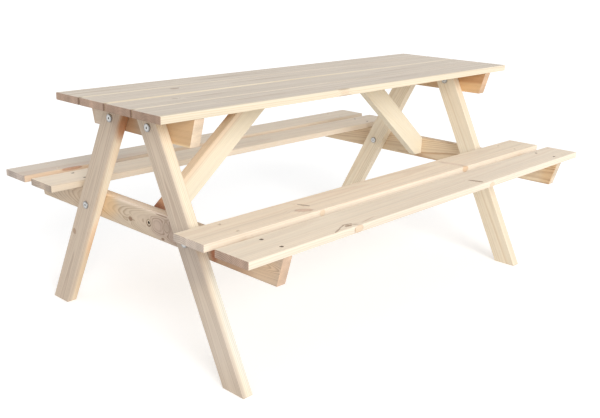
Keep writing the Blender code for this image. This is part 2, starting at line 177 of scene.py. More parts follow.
def planed_pine(node, along, out, log, tones, knots=(), light_and_tone_tints=()):
    """Planed pine for one CAD timber, as a solid piece of a log.

    The ring number at a point is its distance from the log's heart line, bent by slow
    noise and pushed out round each knot, over the width of a ring. The last part of each
    ring, grown in late summer, is darker. Faces across the grain are end grain. A log is
    its rings' width, its heart line's place, lean and bend, its heartwood's radius, how far
    its streaks show, and a seed. A knot is an ellipsoid: its middle, half sizes, turn about
    Z in degrees, the colour of its wood, and how far its wood and its rim show. A tint is a
    soft ellipsoid that multiplies the colour: its middle, half sizes and tone. Many tints
    are painted light and shade, making a face lighter where light falls on it or darker
    where shade lies on it; the rest change the wood's own tone.
    """
    low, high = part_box(node)
    centre = (low + high) / 2
    across = out.cross(along)
    turn = Matrix((along, across, out)).transposed().to_euler()
    points = np.empty(3 * len(nodes[node].data.vertices))
    nodes[node].data.vertices.foreach_get("co", points)
    points = points.reshape(-1, 3) - np.array(centre)
    half_width = float(np.abs(points @ np.array(across)).max())
    half_thickness = float(np.abs(points @ np.array(out)).max())
    material, shader, position = new_material(f"pine_{node}", 0.0, 0.6)
    place = position.measured_from(centre, turn)
    from_heart = heart_distance(place, log)
    seed = log["seed"]

    knot_wobble, knot_push, push_falloff = 0.30, 1.3, 0.62
    grown_knots = []
    for middle, half_sizes, degrees, wood, fill, rim in knots:
        near = position.reach(middle, half_sizes, degrees)
        near = near + knot_wobble * (position.noise((110, 110, 110), seed + 2.0) - 0.5)
        from_heart = from_heart + knot_push * min(half_sizes) * (near * push_falloff).bell()
        grown_knots.append((near, wood, fill, rim))

    ring_ripple, late_rise, late_fall = 0.45, (0.30, 0.86), (1.0, 0.93)
    ripple = place.noise((14.0, 130.0, 130.0), seed + 3.1) - 0.5
    ring = from_heart / log["ring"] + ring_ripple * ripple
    season = ring.math("FRACT", ring)
    late = season.step(*late_rise) * season.step(*late_fall)
    years_apart, year_contrast, faintest_year = 0.37, (0.36, 0.64), 0.25
    vigour = (ring * years_apart).lottery(seed).step(*year_contrast)
    heartwood_blur = 0.004
    heartwood = from_heart.step(log["heartwood"] + heartwood_blur, log["heartwood"] - heartwood_blur)

    early_wood = heartwood.mix(tones["sap"], tones["heart"])
    late_wood = heartwood.mix(tones["sap_line"], tones["heart_line"])
    colour = (late * (faintest_year + (1 - faintest_year) * vigour)).mix(early_wood, late_wood)
    streak = place.noise((1.6, 95.0, 95.0), seed + 4.7, 4.0)
    fibre = place.noise((25.0, 1000.0, 1000.0), seed + 5.9)
    cloud = place.noise((4.0, 16.0, 16.0), seed + 8.2)
    streak_depth, fibre_depth, cloud_depth = 0.22 * log.get("streaks", 1.0), 0.12, 0.12
    streaks = streak_depth * (streak - 0.5) + fibre_depth * (fibre - 0.5) + cloud_depth * (cloud - 0.5)
    colour = colour.brighten(1.0 + streaks)
    duct_depth = 0.22
    duct = place.noise((60.0, 1500.0, 1500.0), seed + 9.4).step(0.66, 0.74)
    colour = (duct * duct_depth).mix(colour, tones["knot_rim"])

    knot_rings, knot_ring_depth, knot_edge = 19.0, 0.35, (1.08, 0.90)
    rim_sharpness, faintest_rim = 6.0, 0.4
    patchy = position.noise((55, 55, 55), seed + 11.0).step(0.42, 0.60)
    for near, wood, fill, rim in grown_knots:
        knot_ring = 0.5 + 0.5 * near.math("SINE", near * knot_rings)
        knot_wood = (knot_ring * knot_ring_depth).mix(wood, tones["knot_rim"])
        colour = (near.step(*knot_edge) * fill).mix(colour, knot_wood)
        line = ((near - 1.0) * rim_sharpness).bell() * (faintest_rim + (1 - faintest_rim) * patchy)
        colour = (line * rim).mix(colour, tones["knot_rim"])

    end_facing = (0.35, 0.55)
    normal = place.node("ShaderNodeTexCoord", {}, {}, "Normal")
    end = abs(place.vector("DOT_PRODUCT", normal, along, output=1)).step(*end_facing)
    saw = place.noise((40.0, 420.0, 60.0), seed + 6.4)
    pores = place.noise((900.0, 900.0, 900.0), seed + 1.9)
    bands = place.noise((3.0, 38.0, 14.0), seed + 7.7)
    end_wood = late.mix(tones["end"], tones["end_line"])
    end_wood = end_wood.brighten(0.25 + 0.20 * saw + 0.20 * pores + 0.20 * streak + 0.95 * bands)
    colour = end.mix(colour, end_wood)
    no_tint, full_tint = 1.25, 0.45
    # Tints paint light and shade onto faces where they stand in for it, and otherwise change the
    # wood's own tone.
    for middle, half_sizes, tone in light_and_tone_tints:
        tinted = colour.vector("MULTIPLY", colour, tone)
        colour = position.reach(middle, half_sizes).step(no_tint, full_tint).mix(colour, tinted)

    arris_width, sharp_part, dent_depth = 0.0016, 0.2, 0.10
    side_limits = half_width - arris_width, half_width - sharp_part * arris_width
    face_limits = half_thickness - arris_width, half_thickness - sharp_part * arris_width
    arris = abs(place.part(1)).step(*side_limits) * abs(place.part(2)).step(*face_limits)
    dents = place.noise((70.0, 300.0, 300.0), seed + 12.4)
    colour = colour.brighten(1.0 - dent_depth * arris * dents)

    relief, relief_strength = 0.00025, 0.5
    rough = 0.54 + 0.14 * fibre - 0.08 * late + 0.14 * end - 0.06 * arris
    height = 0.35 * fibre + 0.45 * late + 0.9 * end * saw + 0.5 * arris * dents
    links = material.node_tree.links
    links.new(colour.socket, shader.inputs["Base Color"])
    links.new(rough.socket, shader.inputs["Roughness"])
    links.new(place.bump(height, relief, relief_strength).socket, shader.inputs["Normal"])
    nodes[node].data.materials.clear()
    nodes[node].data.materials.append(material)


X_WAY = Vector((1, 0, 0))
Y_WAY = Vector((0, 1, 0))
Z_WAY = Vector((0, 0, 1))

leg_tones = {
    "sap": (0.88, 0.77, 0.60),
    "sap_line": (0.76, 0.62, 0.44),
    "heart": (0.61, 0.50, 0.39),
    "heart_line": (0.48, 0.37, 0.28),
    "end": (0.60, 0.47, 0.36),
    "end_line": (0.42, 0.30, 0.22),
    "knot_rim": (0.24, 0.14, 0.09),
}
leg_logs = {
    "leg_near_front": {"heart": (0.000, -0.031), "heartwood": 0.035, "seed": 1.3},
    "leg_near_back": {"heart": (0.002, -0.029), "heartwood": 0.034, "seed": 4.9},
    "leg_far_front": {"heart": (0.02, 0.050), "heartwood": 0.020, "seed": 9.2},
    "leg_far_back": {"heart": (-0.02, 0.045), "heartwood": 0.020, "seed": 12.6},
}
leg_knots = {
    "leg_near_back": [
        ((-0.546, 0.224, 0.193), (0.012, 0.0055, 0.0065), 0, (0.40, 0.26, 0.17), 0.8, 0.5),
    ],
}
leg_light_and_tone_tints = {
    "leg_near_front": [
        # Painted light on the lower -X face and on the -Y face below the bench, and painted shade on
        # the -X face just under the bench.
        ((-0.546, -0.290, 0.040), (0.050, 0.060, 0.130), (1.02, 1.03, 1.04)),
        ((-0.546, -0.190, 0.235), (0.050, 0.060, 0.055), (0.88, 0.89, 0.93)),
        ((-0.521, -0.270, 0.120), (0.0185, 0.200, 0.140), (0.93, 1.03, 1.16)),
        ((-0.552, -0.249, 0.105), (0.012, 0.120, 0.100), (1.08, 1.11, 1.15)),
    ],
    "leg_near_back": [
        # Painted shade on the -Y face under the top; lower down the face is warmed, and it is darkened
        # near the floor.
        ((-0.527, 0.036, 0.464), (0.021, 0.036, 0.054), (0.51, 0.28, 0.17)),
        ((-0.521, 0.075, 0.410), (0.0185, 0.050, 0.080), (1.00, 0.92, 0.86)),
        ((-0.521, 0.185, 0.190), (0.0185, 0.060, 0.080), (1.05, 0.90, 0.80)),
        ((-0.521, 0.215, 0.085), (0.0185, 0.130, 0.150), (0.87, 0.77, 0.68)),
    ],
}
for name, log in leg_logs.items():
    upper, lower = (
        sum(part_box(name.replace("leg", "bolt") + level), Vector((0, 0, 0))) / 2
        for level in ("_upper", "_lower")
    )
    grain = (upper - lower).normalized()
    log = {"ring": 0.0030, "lean": (0.0, 0.01), "bend": (0.9, 0.012), **log}
    planed_pine(name, grain, X_WAY, log, leg_tones, leg_knots.get(name, ()), leg_light_and_tone_tints.get(name, ()))


# Top battens and seat bearers. Bars on edge across the table, undercut at both ends. They
# are cut nearer the heart than the boards, so they are more orange with bolder rings. The
# battens are darker still, partly heartwood and partly painted shade from the top above them.

bar_tones = {
    "sap": (0.80, 0.64, 0.45),
    "sap_line": (0.56, 0.37, 0.22),
    "heart": (0.70, 0.54, 0.38),
    "heart_line": (0.44, 0.29, 0.18),
    "end": (0.69, 0.50, 0.36),
    "end_line": (0.53, 0.36, 0.25),
    "knot_rim": (0.16, 0.08, 0.04),
}
near_bearer_tones = {
    **bar_tones,
    "sap": (0.64, 0.52, 0.39),
    "sap_line": (0.45, 0.33, 0.22),
    "heart": (0.59, 0.46, 0.35),
    "heart_line": (0.37, 0.26, 0.18),
}
far_bearer_tones = {**bar_tones, "end": (0.76, 0.63, 0.48), "end_line": (0.60, 0.47, 0.34)}
# Darker and more orange than the other bars: heartwood, and painted shade from the top above them.
batten_heartwood_and_shade_tones = {
    **bar_tones,
    "end": (0.66, 0.49, 0.37),
    "end_line": (0.52, 0.36, 0.25),
    "sap": (0.70, 0.49, 0.30),
    "sap_line": (0.60, 0.39, 0.22),
    "heart": (0.52, 0.31, 0.17),
    "heart_line": (0.43, 0.24, 0.12),
}
bar_logs = {
    "top_batten_near": {"heart": (0.06, -0.02), "heartwood": 0.090, "seed": 2.2},
    "top_batten_far": {"heart": (0.05, -0.03), "heartwood": 0.060, "seed": 5.2},
    "seat_bearer_near": {
        "ring": 0.0020, "heart": (0.002, -0.045), "lean": (0.0, 0.11), "heartwood": 0.034, "seed": 7.7,
    },
    "seat_bearer_far": {"heart": (-0.02, 0.03), "heartwood": 0.040, "seed": 3.4},
}
dark_knot = (0.28, 0.17, 0.10)
bar_knots = {
    "seat_bearer_near": [
        ((-0.521, 0.041, 0.261), (0.010, 0.0065, 0.0050), 0, dark_knot, 0.88, 0.30),
        ((-0.521, 0.040, 0.261), (0.010, 0.0150, 0.0016), 0, dark_knot, 0.60, 0.0),
        # Not a knot: only its rim shows, a ring of painted shade round the socket screw's head.
        ((-0.521, -0.022, 0.267), (0.020, 0.0067, 0.0067), 0, dark_knot, 0.0, 1.0),
        ((-0.521, -0.082, 0.270), (0.010, 0.0110, 0.0090), 0, dark_knot, 0.15, 0.15),
        ((-0.521, -0.065, 0.293), (0.010, 0.0190, 0.0018), 0, dark_knot, 0.75, 0.0),
        ((-0.521, -0.068, 0.244), (0.010, 0.0050, 0.0030), 0, dark_knot, 0.85, 0.0),
    ],
}
bar_light_and_tone_tints = {
    "seat_bearer_near": [
        ((-0.521, 0.130, 0.275), (0.050, 0.050, 0.035), (1.10, 0.96, 0.76)),
        ((-0.521, -0.110, 0.262), (0.050, 0.090, 0.045), (0.90, 0.88, 0.92)),
        # Painted light along the top face.
        ((-0.521, 0.020, 0.303), (0.030, 0.240, 0.012), (1.50, 1.55, 1.68)),
        # Painted shade on the face under the gap between the bench boards; then darker along the lower
        # edge and lighter towards the front end.
        ((-0.532, -0.224, 0.262), (0.030, 0.014, 0.030), (0.72, 0.38, 0.26)),
        ((-0.532, -0.270, 0.243), (0.030, 0.070, 0.013), (0.87, 0.72, 0.60)),
        ((-0.532, -0.350, 0.265), (0.030, 0.060, 0.040), (1.20, 1.14, 1.02)),
        # Painted shade round the socket screw's head.
        ((-0.521, -0.022, 0.2677), (0.006, 0.0090, 0.0090), (0.66, 0.62, 0.54)),
    ],
    "top_batten_near": [
        # Painted light where the batten runs out beyond the legs; between them the face is made paler
        # and less orange.
        ((-0.521, -0.030, 0.475), (0.030, 0.045, 0.060), (0.92, 1.12, 1.40)),
        ((-0.521, 0.128, 0.475), (0.0015, 0.045, 0.060), (1.38, 1.94, 2.88)),
        ((-0.521, -0.135, 0.475), (0.050, 0.055, 0.060), (1.30, 1.46, 1.48)),
    ],
    "top_batten_far": [((0.521, -0.120, 0.475), (0.050, 0.080, 0.060), (1.22, 1.12, 0.95))],
    "seat_bearer_far": [
        ((0.499, -0.345, 0.262), (0.006, 0.050, 0.045), (1.15, 1.21, 1.21)),
        ((0.499, -0.395, 0.265), (0.006, 0.035, 0.045), (0.95, 0.84, 0.70)),
    ],
}
bearer_tones = {"seat_bearer_near": near_bearer_tones, "seat_bearer_far": far_bearer_tones}
for name, log in bar_logs.items():
    if name in bearer_tones:
        ring, bend, tones = 0.0036, (5.0, 0.010), bearer_tones[name]
    else:
        ring, bend, tones = 0.0024, (1.0, 0.008), batten_heartwood_and_shade_tones
    log = {"ring": ring, "lean": (0.03, -0.02), "bend": bend, **log}
    planed_pine(name, Y_WAY, X_WAY, log, tones, bar_knots.get(name, ()), bar_light_and_tone_tints.get(name, ()))


# Bolts and sleeve nuts. Each leg is clamped to its bars by two flat-headed connector bolts
# in bright zinc. Each turns in a sleeved nut let in from behind. Both are turned steel.

ROUND = 0.0
HEXAGON = 1.0
STEEL_SIDES = 48


def rounded(height, radius, size, start, end, steps=5):
    """Round stretch of a profile: heights and radii on an arc between two angles."""
    angles = np.radians(np.linspace(start, end, steps))
    return [
        (height + size * math.sin(angle), radius + size * math.cos(angle), ROUND)
        for angle in angles
    ]


def turned_grid(profile, sides=STEEL_SIDES):
    """Radius and height of a turned piece on a grid of profile points and angles.

    A point's radius is constant round the axis where it is round, and where it is
    hexagonal it is the flat's distance over the cosine of the angle from the flat's middle.
    """
    heights, radii, shape = np.array(profile).T
    angles = np.linspace(0, 2 * np.pi, sides, endpoint=False)
    sixth = np.pi / 3
    flat = 1 / np.cos((angles + sixth / 2) % sixth - sixth / 2)
    radius = radii[:, None] * (1 + shape[:, None] * (flat[None, :] - 1))
    return radius, np.repeat(heights[:, None], sides, axis=1)


def thread(radius, height, start, end, pitch, depth):
    """Cut a helical thread: the radius falls by the depth where the winding is at a root.

    The winding at a point is its height over the pitch minus its turn about the axis, and
    the cut fades in over one pitch at the thread's start.
    """
    flank, crest = 1.6, 0.3
    turns = np.linspace(0, 1, radius.shape[1], endpoint=False)[None, :]
    winding = (height / pitch - turns) % 1.0
    root = np.clip(flank * np.abs(2 * winding - 1) - crest, 0, 1)
    fade = np.clip((height - start) / pitch, 0, 1) * (height <= end)
    return radius - depth * root * fade


def add_turned(name, node, material, place, radius, height, shade_and_grime, is_ring=False):
    """Closed mesh of a turned piece about the Z axis of its place.

    The point at row i and angle a is (radius cos a, radius sin a, height). The rows'
    ends meet on the axis, or on each other where the piece is a ring.
    """
    rows, sides = radius.shape
    angles = np.linspace(0, 2 * np.pi, sides, endpoint=False)
    grid = np.stack((radius * np.cos(angles), radius * np.sin(angles), height), axis=-1)
    index = np.arange(rows * sides).reshape(rows, sides)
    if is_ring:
        index = np.vstack((index, index[:1]))
    inner = index if is_ring else index[1:-1]
    here, beyond = inner[:-1], inner[1:]
    quads = np.stack(
        (here, beyond, np.roll(beyond, -1, axis=1), np.roll(here, -1, axis=1)), axis=-1
    ).reshape(-1, 4)
    tips = np.empty((0, 3), int)
    if not is_ring:
        first, last = index[1], index[-2]
        start, finish = np.full_like(first, index[0, 0]), np.full_like(last, index[-1, 0])
        tips = np.vstack((
            np.stack((start, first, np.roll(first, -1)), axis=-1),
            np.stack((finish, np.roll(last, -1), last), axis=-1),
        ))
    points = grid.reshape(-1, 3) @ np.array(place.to_3x3()).T + np.array(place.translation)
    used, renumbered = np.unique(np.concatenate((quads.ravel(), tips.ravel())), return_inverse=True)
    quads = renumbered[:quads.size].reshape(-1, 4)
    tips = renumbered[quads.size:].reshape(-1, 3)
    mesh = bpy.data.meshes.new(name)
    mesh.from_pydata(points[used].tolist(), [], quads.tolist() + tips.tolist())
    layer = mesh.attributes.new("shade_and_grime", "FLOAT", "POINT")
    layer.data.foreach_set("value", np.broadcast_to(shade_and_grime, radius.shape).reshape(-1)[used])
    sharp_angle = math.radians(38)
    mesh.shade_smooth()
    mesh.set_sharp_from_angle(angle=sharp_angle)
    mesh.materials.append(material)
    piece = bpy.data.objects.new(name, mesh)
    bpy.context.scene.collection.objects.link(piece)
    if node:
        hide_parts(node)
    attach(piece, "root")


def zinc_steel(name, bright, dull, roughness):
    """Zinc-plated steel, mottled and brushed, darker and duller where the grime attribute is high:
    real dullness, and painted shade in recesses and round rims.
    """
    brush_depth, brush_strength = 0.00004, 0.5
    material, shader, position = new_material(name, 1.0, roughness)
    shade_and_grime = position.node("ShaderNodeAttribute", {"attribute_name": "shade_and_grime"}, {}, 2)
    spangle = position.noise((600, 600, 600), 2.0)
    brushed = position.noise((300, 4000, 4000), 5.0)
    # The dull colour shows real dullness and painted shade in recesses and round rims.
    dirt_and_shade = (shade_and_grime * (0.75 + 0.5 * spangle)).step(0.0, 1.0)
    colour = dirt_and_shade.mix(bright, dull).brighten(0.88 + 0.24 * spangle)
    rough = roughness + 0.12 * (brushed - 0.5) + 0.30 * dirt_and_shade
    links = material.node_tree.links
    links.new(colour.socket, shader.inputs["Base Color"])
    links.new(rough.socket, shader.inputs["Roughness"])
    normal = position.bump(brushed, brush_depth, brush_strength)
    links.new(normal.socket, shader.inputs["Normal"])
    return material


def laid_along(spot, axis):
    """Place whose Z axis runs along an axis from a spot."""
    return Matrix.Translation(spot) @ axis.to_track_quat("Z", "Y").to_matrix().to_4x4()


bolt_zinc = zinc_steel("bolt_zinc_plate", (0.60, 0.60, 0.59), (0.12, 0.12, 0.13), 0.30)
head_height = 0.0032
rim_size = 0.0011
edge_break = 0.0003
corner_break = 0.0004
key_radius = 0.00225
key_depth = 0.0024
key_floor_radius = 0.0010
key_flare = 0.00025
shank_radius = 0.0030
tip_break = 0.0008
plain_share = 0.36
bolt_pitch = 0.0010
bolt_thread_depth = 0.0004
thread_row = 0.00014
sleeve_radius = 0.0047
bore_radius = 0.0033
key_reach = 0.0026
bore_reach = 0.0035
bolt_rim_start = 0.0074
nut_rim_start = 0.0068
face_depth = 0.0002
# How far the dull colour shows as painted shade: in the key hole, round the bolt head's rim, down the
# nut's bore and round the nut's rim.
key_painted_shade, bolt_rim_painted_shade, bore_painted_shade, nut_rim_painted_shade = 0.30, 0.50, 0.90, 0.42


def flat_head(head_radius):
    """Profile of a flat round head, from its key hole's mouth out to its back's edge."""
    return [
        (0.00045, key_radius, HEXAGON),
        (0.00020, key_radius + key_flare, HEXAGON),
        (0.00014, 0.0033, ROUND),
        *rounded(rim_size, head_radius - rim_size, rim_size, -75, 0),
        (head_height - edge_break, head_radius, ROUND),
        (head_height, head_radius - edge_break, ROUND),
    ]


ends_and_sides = [f"{end}_{side}_{level}" for end in ("near", "far")
                  for side in ("front", "back") for level in ("upper", "lower")]
for which in ends_and_sides:
    low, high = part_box(f"bolt_{which}")
    length = high.x - low.x
    head_radius = (high.z - low.z) / 2
    middle = (low + high) / 2
    crown = Vector((low.x, middle.y, middle.z))
    thread_start = plain_share * length
    shank_end = length - tip_break
    thread_rows = np.arange(thread_start, shank_end, thread_row)
    profile = [
        (key_depth, 0.0, ROUND),
        (key_depth, key_floor_radius, ROUND),
        (key_depth, key_radius, HEXAGON),
        *flat_head(head_radius),
        (head_height, shank_radius + edge_break, ROUND),
        (head_height + corner_break, shank_radius, ROUND),
        *[(height, shank_radius, ROUND) for height in thread_rows],
        (length, shank_radius - tip_break, ROUND),
        (length, 0.0, ROUND),
    ]
    radius, height = turned_grid(profile)
    radius = thread(radius, height, thread_start, shank_end, bolt_pitch, bolt_thread_depth)
    in_head = height < head_height
    in_key_hole = in_head & (radius < key_reach)
    at_rim = in_head & (radius > bolt_rim_start)
    # Painted shade in the key hole and round the head's rim.
    shade_and_grime = np.maximum(key_painted_shade * in_key_hole, bolt_rim_painted_shade * at_rim)
    add_turned(f"connector_bolt_{which}", f"bolt_{which}", bolt_zinc,
               laid_along(crown, X_WAY), radius, height, shade_and_grime)

    low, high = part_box(f"cap_nut_{which}")
    length = high.x - low.x
    head_radius = (high.z - low.z) / 2
    crown = Vector((high.x, middle.y, middle.z))
    profile = [
        (head_height, key_radius, HEXAGON),
        *flat_head(head_radius),
        (head_height, sleeve_radius + edge_break, ROUND),
        (head_height + edge_break, sleeve_radius, ROUND),
        (length - corner_break, sleeve_radius, ROUND),
        (length, sleeve_radius - corner_break, ROUND),
        (length, bore_radius + edge_break, ROUND),
        (length - edge_break, bore_radius, ROUND),
        (head_height + face_depth, bore_radius, ROUND),
    ]
    radius, height = turned_grid(profile)
    in_bore = (height > face_depth) & (radius < bore_reach)
    at_rim = (height < head_height) & (radius > nut_rim_start)
    # Painted shade down the bore and round the nut's rim.
    shade_and_grime = np.maximum(bore_painted_shade * in_bore, nut_rim_painted_shade * at_rim)
    add_turned(f"sleeve_nut_{which}", f"cap_nut_{which}", bolt_zinc,
               laid_along(crown, -X_WAY), radius, height, shade_and_grime, is_ring=True)


# Tabletop boards. Four planed boards with rounded long edges, laid with narrow gaps, and
# held by wood screws driven up through the battens. Their planed faces are a little grey.

top_tones = {
    "sap": (0.86, 0.76, 0.59),
    "sap_line": (0.76, 0.62, 0.43),
    "heart": (0.72, 0.635, 0.535),
    "heart_line": (0.55, 0.445, 0.345),
    "end": (0.49, 0.345, 0.255),
    "end_line": (0.29, 0.19, 0.14),
    "knot_rim": (0.27, 0.17, 0.12),
}
front_end_tones = {"end": (0.43, 0.295, 0.215), "end_line": (0.25, 0.16, 0.115)}
top_logs = {
    "tabletop_board_1": {"heart": (0.004, 0.034), "heartwood": 0.049, "seed": 0.6},
    "tabletop_board_2": {"heart": (-0.004, 0.038), "heartwood": 0.051, "seed": 3.9},
    "tabletop_board_3": {"heart": (0.002, 0.032), "heartwood": 0.048, "seed": 6.1},
    "tabletop_board_4": {"heart": (-0.002, 0.040), "heartwood": 0.053, "seed": 8.8},
}
front_boards = ("tabletop_board_1", "tabletop_board_2")
grey_knot = (0.42, 0.30, 0.21)
top_knots = {
    "tabletop_board_1": [
        ((-0.092, -0.1725, 0.5105), (0.0150, 0.0060, 0.0040), 0, (0.88, 0.64, 0.46), 0.40, 0.15),
        ((-0.097, -0.1725, 0.5180), (0.0210, 0.0070, 0.0018), 0, (0.46, 0.33, 0.20), 0.60, 0.0),
        ((-0.0905, -0.1725, 0.5040), (0.0215, 0.0050, 0.0014), 0, (0.50, 0.34, 0.24), 0.70, 0.0),
    ],
    "tabletop_board_2": [
        ((-0.458, -0.038, 0.518), (0.0060, 0.0040, 0.0100), 0, grey_knot, 0.45, 0.20),
    ],
    "tabletop_board_3": [
        ((-0.379, 0.062, 0.518), (0.0120, 0.0065, 0.0100), 10, grey_knot, 0.65, 0.60),
    ],
}
for name, log in top_logs.items():
    low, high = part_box(name)
    gap_end = (low.x, low.y, (low.z + high.z) / 2)
    # At the near end, each board's edge along the gap to the board in front is darkened as painted
    # shade in the gap.
    gap_painted_shade = (gap_end, (0.012, 0.004, 0.020), (0.45, 0.38, 0.34))
    log = {"ring": 0.0026, "lean": (0.004, 0.006), "bend": (0.8, 0.010), "streaks": 1.8, **log}
    light_and_tone_tints = [gap_painted_shade] if name != "tabletop_board_1" else []
    tones = {**top_tones, **front_end_tones} if name in front_boards else top_tones
    planed_pine(name, X_WAY, Z_WAY, log, tones, top_knots.get(name, ()), light_and_tone_tints)

screw_steel = zinc_steel("wood_screw_zinc", (0.36, 0.30, 0.23), (0.06, 0.04, 0.03), 0.42)
screw_length = 0.040
screw_radius = 0.0020
screw_head_radius = 0.0040
screw_neck = 0.0034
screw_thread_start = 0.012
screw_taper_start = 0.034
screw_pitch = 0.0018
screw_thread_depth = 0.0007
screw_rows_per_turn = 7
screw_taper_power = 0.7
screw_sides = 40
recess_rows = 13
recess_reach = 0.0027
recess_depth = 0.0016
recess_slope = 0.25
arm_length = 0.0025
arm_half_width = 0.00060
arm_end_blur = 0.0004
arm_side_blur = 0.00020
screw_grime = 0.35


def wood_screw(name, node, head_middle, axis, steel=screw_steel):
    """Countersunk wood screw with a cross recess and a coarse thread down to its point.

    The recess sinks within the arms of a cross, whose sides and ends are short slopes and
    whose floor rises outwards. The body narrows to a point from the taper's start on.
    """
    thread_rows = np.arange(screw_thread_start, screw_length, screw_pitch / screw_rows_per_turn)
    profile = [
        *[(0.0, reach, ROUND) for reach in np.linspace(0, recess_reach, recess_rows)],
        (0.0, 0.0034, ROUND),
        (0.00005, 0.0038, ROUND),
        (0.0002, screw_head_radius, ROUND),
        (0.0028, screw_radius + 0.0001, ROUND),
        (screw_neck, screw_radius - 0.0002, ROUND),
        *[(height, screw_radius, ROUND) for height in thread_rows],
        (screw_length, 0.0, ROUND),
    ]
    radius, height = turned_grid(profile, screw_sides)
    narrowing = np.clip((screw_length - height) / (screw_length - screw_taper_start), 0, 1)
    threaded = thread(
        radius, height, screw_thread_start, screw_length, screw_pitch, screw_thread_depth
    )
    radius = np.where(height > screw_neck, threaded * narrowing ** screw_taper_power, radius)
    angles = np.linspace(0, 2 * np.pi, screw_sides, endpoint=False)[None, :]
    along_one = np.abs(radius * np.cos(angles))
    along_two = np.abs(radius * np.sin(angles))
    longer, shorter = np.maximum(along_one, along_two), np.minimum(along_one, along_two)
    inside_sides = np.clip((arm_half_width - shorter) / arm_side_blur, 0, 1)
    inside_end = np.clip((arm_length - longer) / arm_end_blur, 0, 1)
    arm = inside_sides * inside_end
    on_face = (height == 0) & (radius < recess_reach)
    recess = np.where(on_face, arm * (recess_depth - recess_slope * longer), 0.0)
    # The screw is a little dull all over, and its cross recess is darkened as painted shade.
    shade_and_grime = np.where(on_face, screw_grime + (1 - screw_grime) * arm, screw_grime)
    add_turned(name, node, steel, laid_along(head_middle, axis), radius,
               height + recess, shade_and_grime)


for end in ("near", "far"):
    for row in (1, 2, 3, 4):
        low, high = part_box(f"top_screw_{end}_{row}")
        middle = (low + high) / 2
        head_middle = Vector((middle.x, middle.y, low.z))
        wood_screw(f"top_wood_screw_{end}_{row}", f"top_screw_{end}_{row}", head_middle, Z_WAY)


# Bench boards. Two on each side, screwed down through their faces. They are pinker and
# paler than the top, with knots that run out through their front edges.

bench_tones = {
    "sap": (0.90, 0.78, 0.63),
    "sap_line": (0.84, 0.69, 0.54),
    "heart": (0.86, 0.70, 0.54),
    "heart_line": (0.76, 0.58, 0.43),
    "end": (0.49, 0.35, 0.265),
    "end_line": (0.33, 0.22, 0.16),
    "knot_rim": (0.28, 0.15, 0.10),
}
bench_logs = {
    "bench_front_inner_board": {"heart": (0.02, -0.07), "heartwood": 0.060, "seed": 11.4},
    "bench_front_outer_board": {"heart": (0.03, -0.08), "heartwood": 0.070, "seed": 13.7},
    "bench_back_inner_board": {"heart": (-0.01, -0.07), "heartwood": 0.060, "seed": 15.1},
    "bench_back_outer_board": {"heart": (-0.03, -0.06), "heartwood": 0.065, "seed": 16.5},
}
bark = (0.32, 0.19, 0.11)
red_knot = (0.70, 0.48, 0.36)
orange_knot = (0.84, 0.58, 0.35)
pale_knot = (0.90, 0.68, 0.44)
bench_knots = {
    "bench_front_inner_board": [
        ((-0.2995, -0.2475, 0.312), (0.0036, 0.0135, 0.0050), 28, bark, 0.75, 0.0),
        ((-0.3235, -0.2715, 0.312), (0.0085, 0.0190, 0.0050), 60, red_knot, 0.65, 0.30),
        ((-0.292, -0.293, 0.304), (0.0075, 0.0080, 0.0070), 0, pale_knot, 0.55, 0.15),
        ((-0.536, -0.202, 0.312), (0.0035, 0.0030, 0.0050), 0, bark, 0.50, 0.0),
        ((0.237, -0.253, 0.312), (0.0065, 0.0300, 0.0050), 12, red_knot, 0.30, 0.30),
        ((0.239, -0.293, 0.306), (0.0120, 0.0120, 0.0080), 0, orange_knot, 0.80, 0.20),
    ],
    "bench_front_outer_board": [
        ((-0.371, -0.3985, 0.312), (0.0155, 0.0019, 0.0030), 21, bark, 0.62, 0.0),
        ((-0.348, -0.3890, 0.312), (0.0120, 0.0018, 0.0030), 17, bark, 0.62, 0.0),
        ((-0.330, -0.3870, 0.312), (0.0130, 0.0021, 0.0030), -12, bark, 0.78, 0.0),
        ((-0.3185, -0.3955, 0.312), (0.0080, 0.0020, 0.0030), -42, bark, 0.70, 0.0),
        ((-0.334, -0.3935, 0.312), (0.0090, 0.0040, 0.0040), -10, bark, 0.78, 0.0),
        ((-0.276, -0.3945, 0.312), (0.0260, 0.0018, 0.0030), 9, red_knot, 0.50, 0.0),
        ((-0.316, -0.4055, 0.3050), (0.0125, 0.0050, 0.0070), 0, orange_knot, 0.50, 0.20),
        ((-0.3275, -0.4055, 0.3040), (0.0016, 0.0050, 0.0060), 0, bark, 0.40, 0.0),
        ((0.137, -0.383, 0.312), (0.0042, 0.0170, 0.0040), 22, bark, 0.95, 0.0),
        ((0.173, -0.4055, 0.301), (0.0100, 0.0100, 0.0060), 0, pale_knot, 0.60, 0.30),
    ],
    "bench_back_outer_board": [
        ((-0.483, 0.3215, 0.310), (0.0280, 0.0070, 0.0040), 0, (0.66, 0.38, 0.26), 0.80, 0.15),
    ],
}
bench_light_and_tone_tints = {
    "bench_front_inner_board": [
        # Painted light on the inner board's top, which is made darker towards the far end.
        ((0.000, -0.251, 0.318), (1.000, 0.300, 0.010), (1.09, 1.07, 1.05)),
        ((0.560, -0.251, 0.318), (0.320, 0.300, 0.010), (0.93, 0.93, 0.91)),
    ],
    "bench_front_outer_board": [
        # Painted light on the outer board's top at the near end.
        ((-0.450, -0.363, 0.318), (0.350, 0.300, 0.010), (1.06, 1.06, 1.05)),
    ],
    "bench_back_inner_board": [
        # Painted shadow of the near back leg along the front edge.
        ((-0.560, 0.209, 0.303), (0.110, 0.004, 0.020), (0.85, 0.84, 0.82)),
    ],
    "bench_back_outer_board": [
        # Painted shade over the outer board's near end, and a warmer streak along the board.
        ((-0.500, 0.360, 0.305), (0.300, 0.120, 0.060), (0.80, 0.82, 0.87)),
        ((-0.520, 0.3215, 0.305), (0.140, 0.006, 0.020), (1.11, 1.00, 0.87)),
    ],
}
